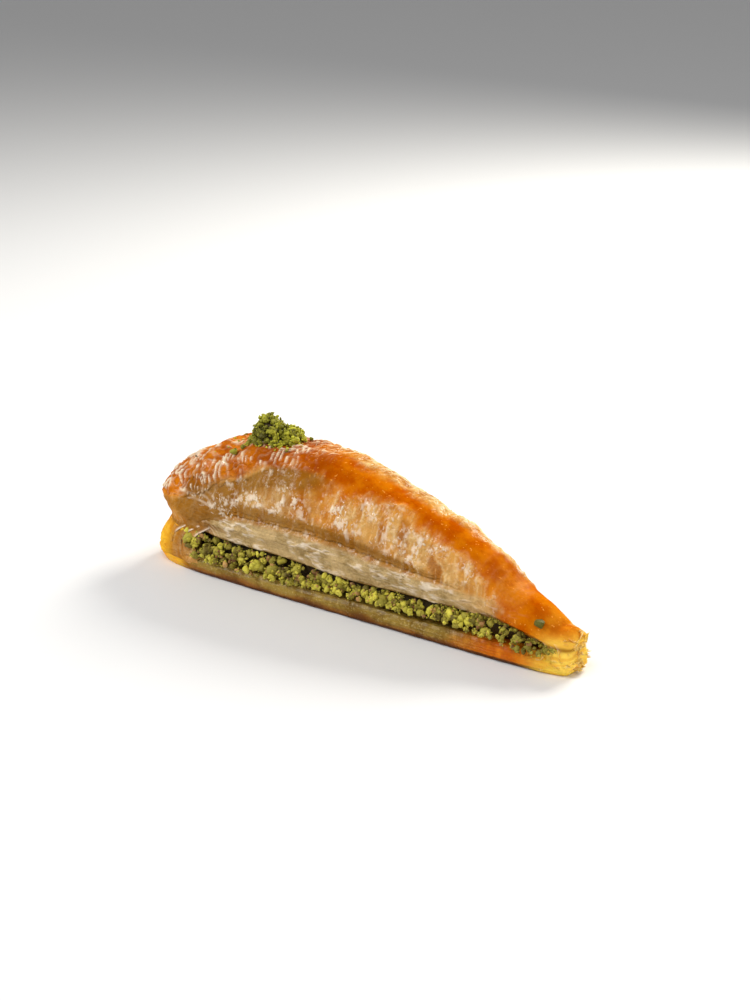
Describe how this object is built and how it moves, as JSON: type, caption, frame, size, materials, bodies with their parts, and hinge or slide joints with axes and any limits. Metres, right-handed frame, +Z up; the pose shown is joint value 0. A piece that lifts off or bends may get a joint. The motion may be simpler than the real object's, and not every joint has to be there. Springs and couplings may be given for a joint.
{
  "type": "baklava slice",
  "caption": "Narrow wedge of pistachio baklava: a low stack of syrupy sheets, a layer of chopped nuts, a tall puffed crust over it and a small heap of ground pistachio on the crest.",
  "frame": {"origin": "middle of the flat underside, halfway along the slice and on its plane of symmetry", "axes": "+X runs along the slice from the wide end to the tip, +Z is up, and +Y is to the left when looking towards the tip"},
  "size_m": [0.1644, 0.0465, 0.0532],
  "materials": {
    "syrupy_sheets": "soft pastry sheets soaked in syrup, amber and glossy, paler at the ends",
    "chopped_pistachio": "chopped pistachio kernels, yellow-green with some tan and purple skins, moist",
    "browned_sheets": "thin crisp pastry sheets, deep golden brown on the crest and pale golden on the sides, glossy with butter and syrup",
    "ground_pistachio": "coarsely ground pistachio, olive to yellow-green, dull"
  },
  "bodies": {
    "root": {"lower_pastry": "syrupy_sheets", "pistachio_filling": "chopped_pistachio", "upper_pastry": "browned_sheets", "pistachio_heap": "ground_pistachio"}
  },
  "joints": []
}
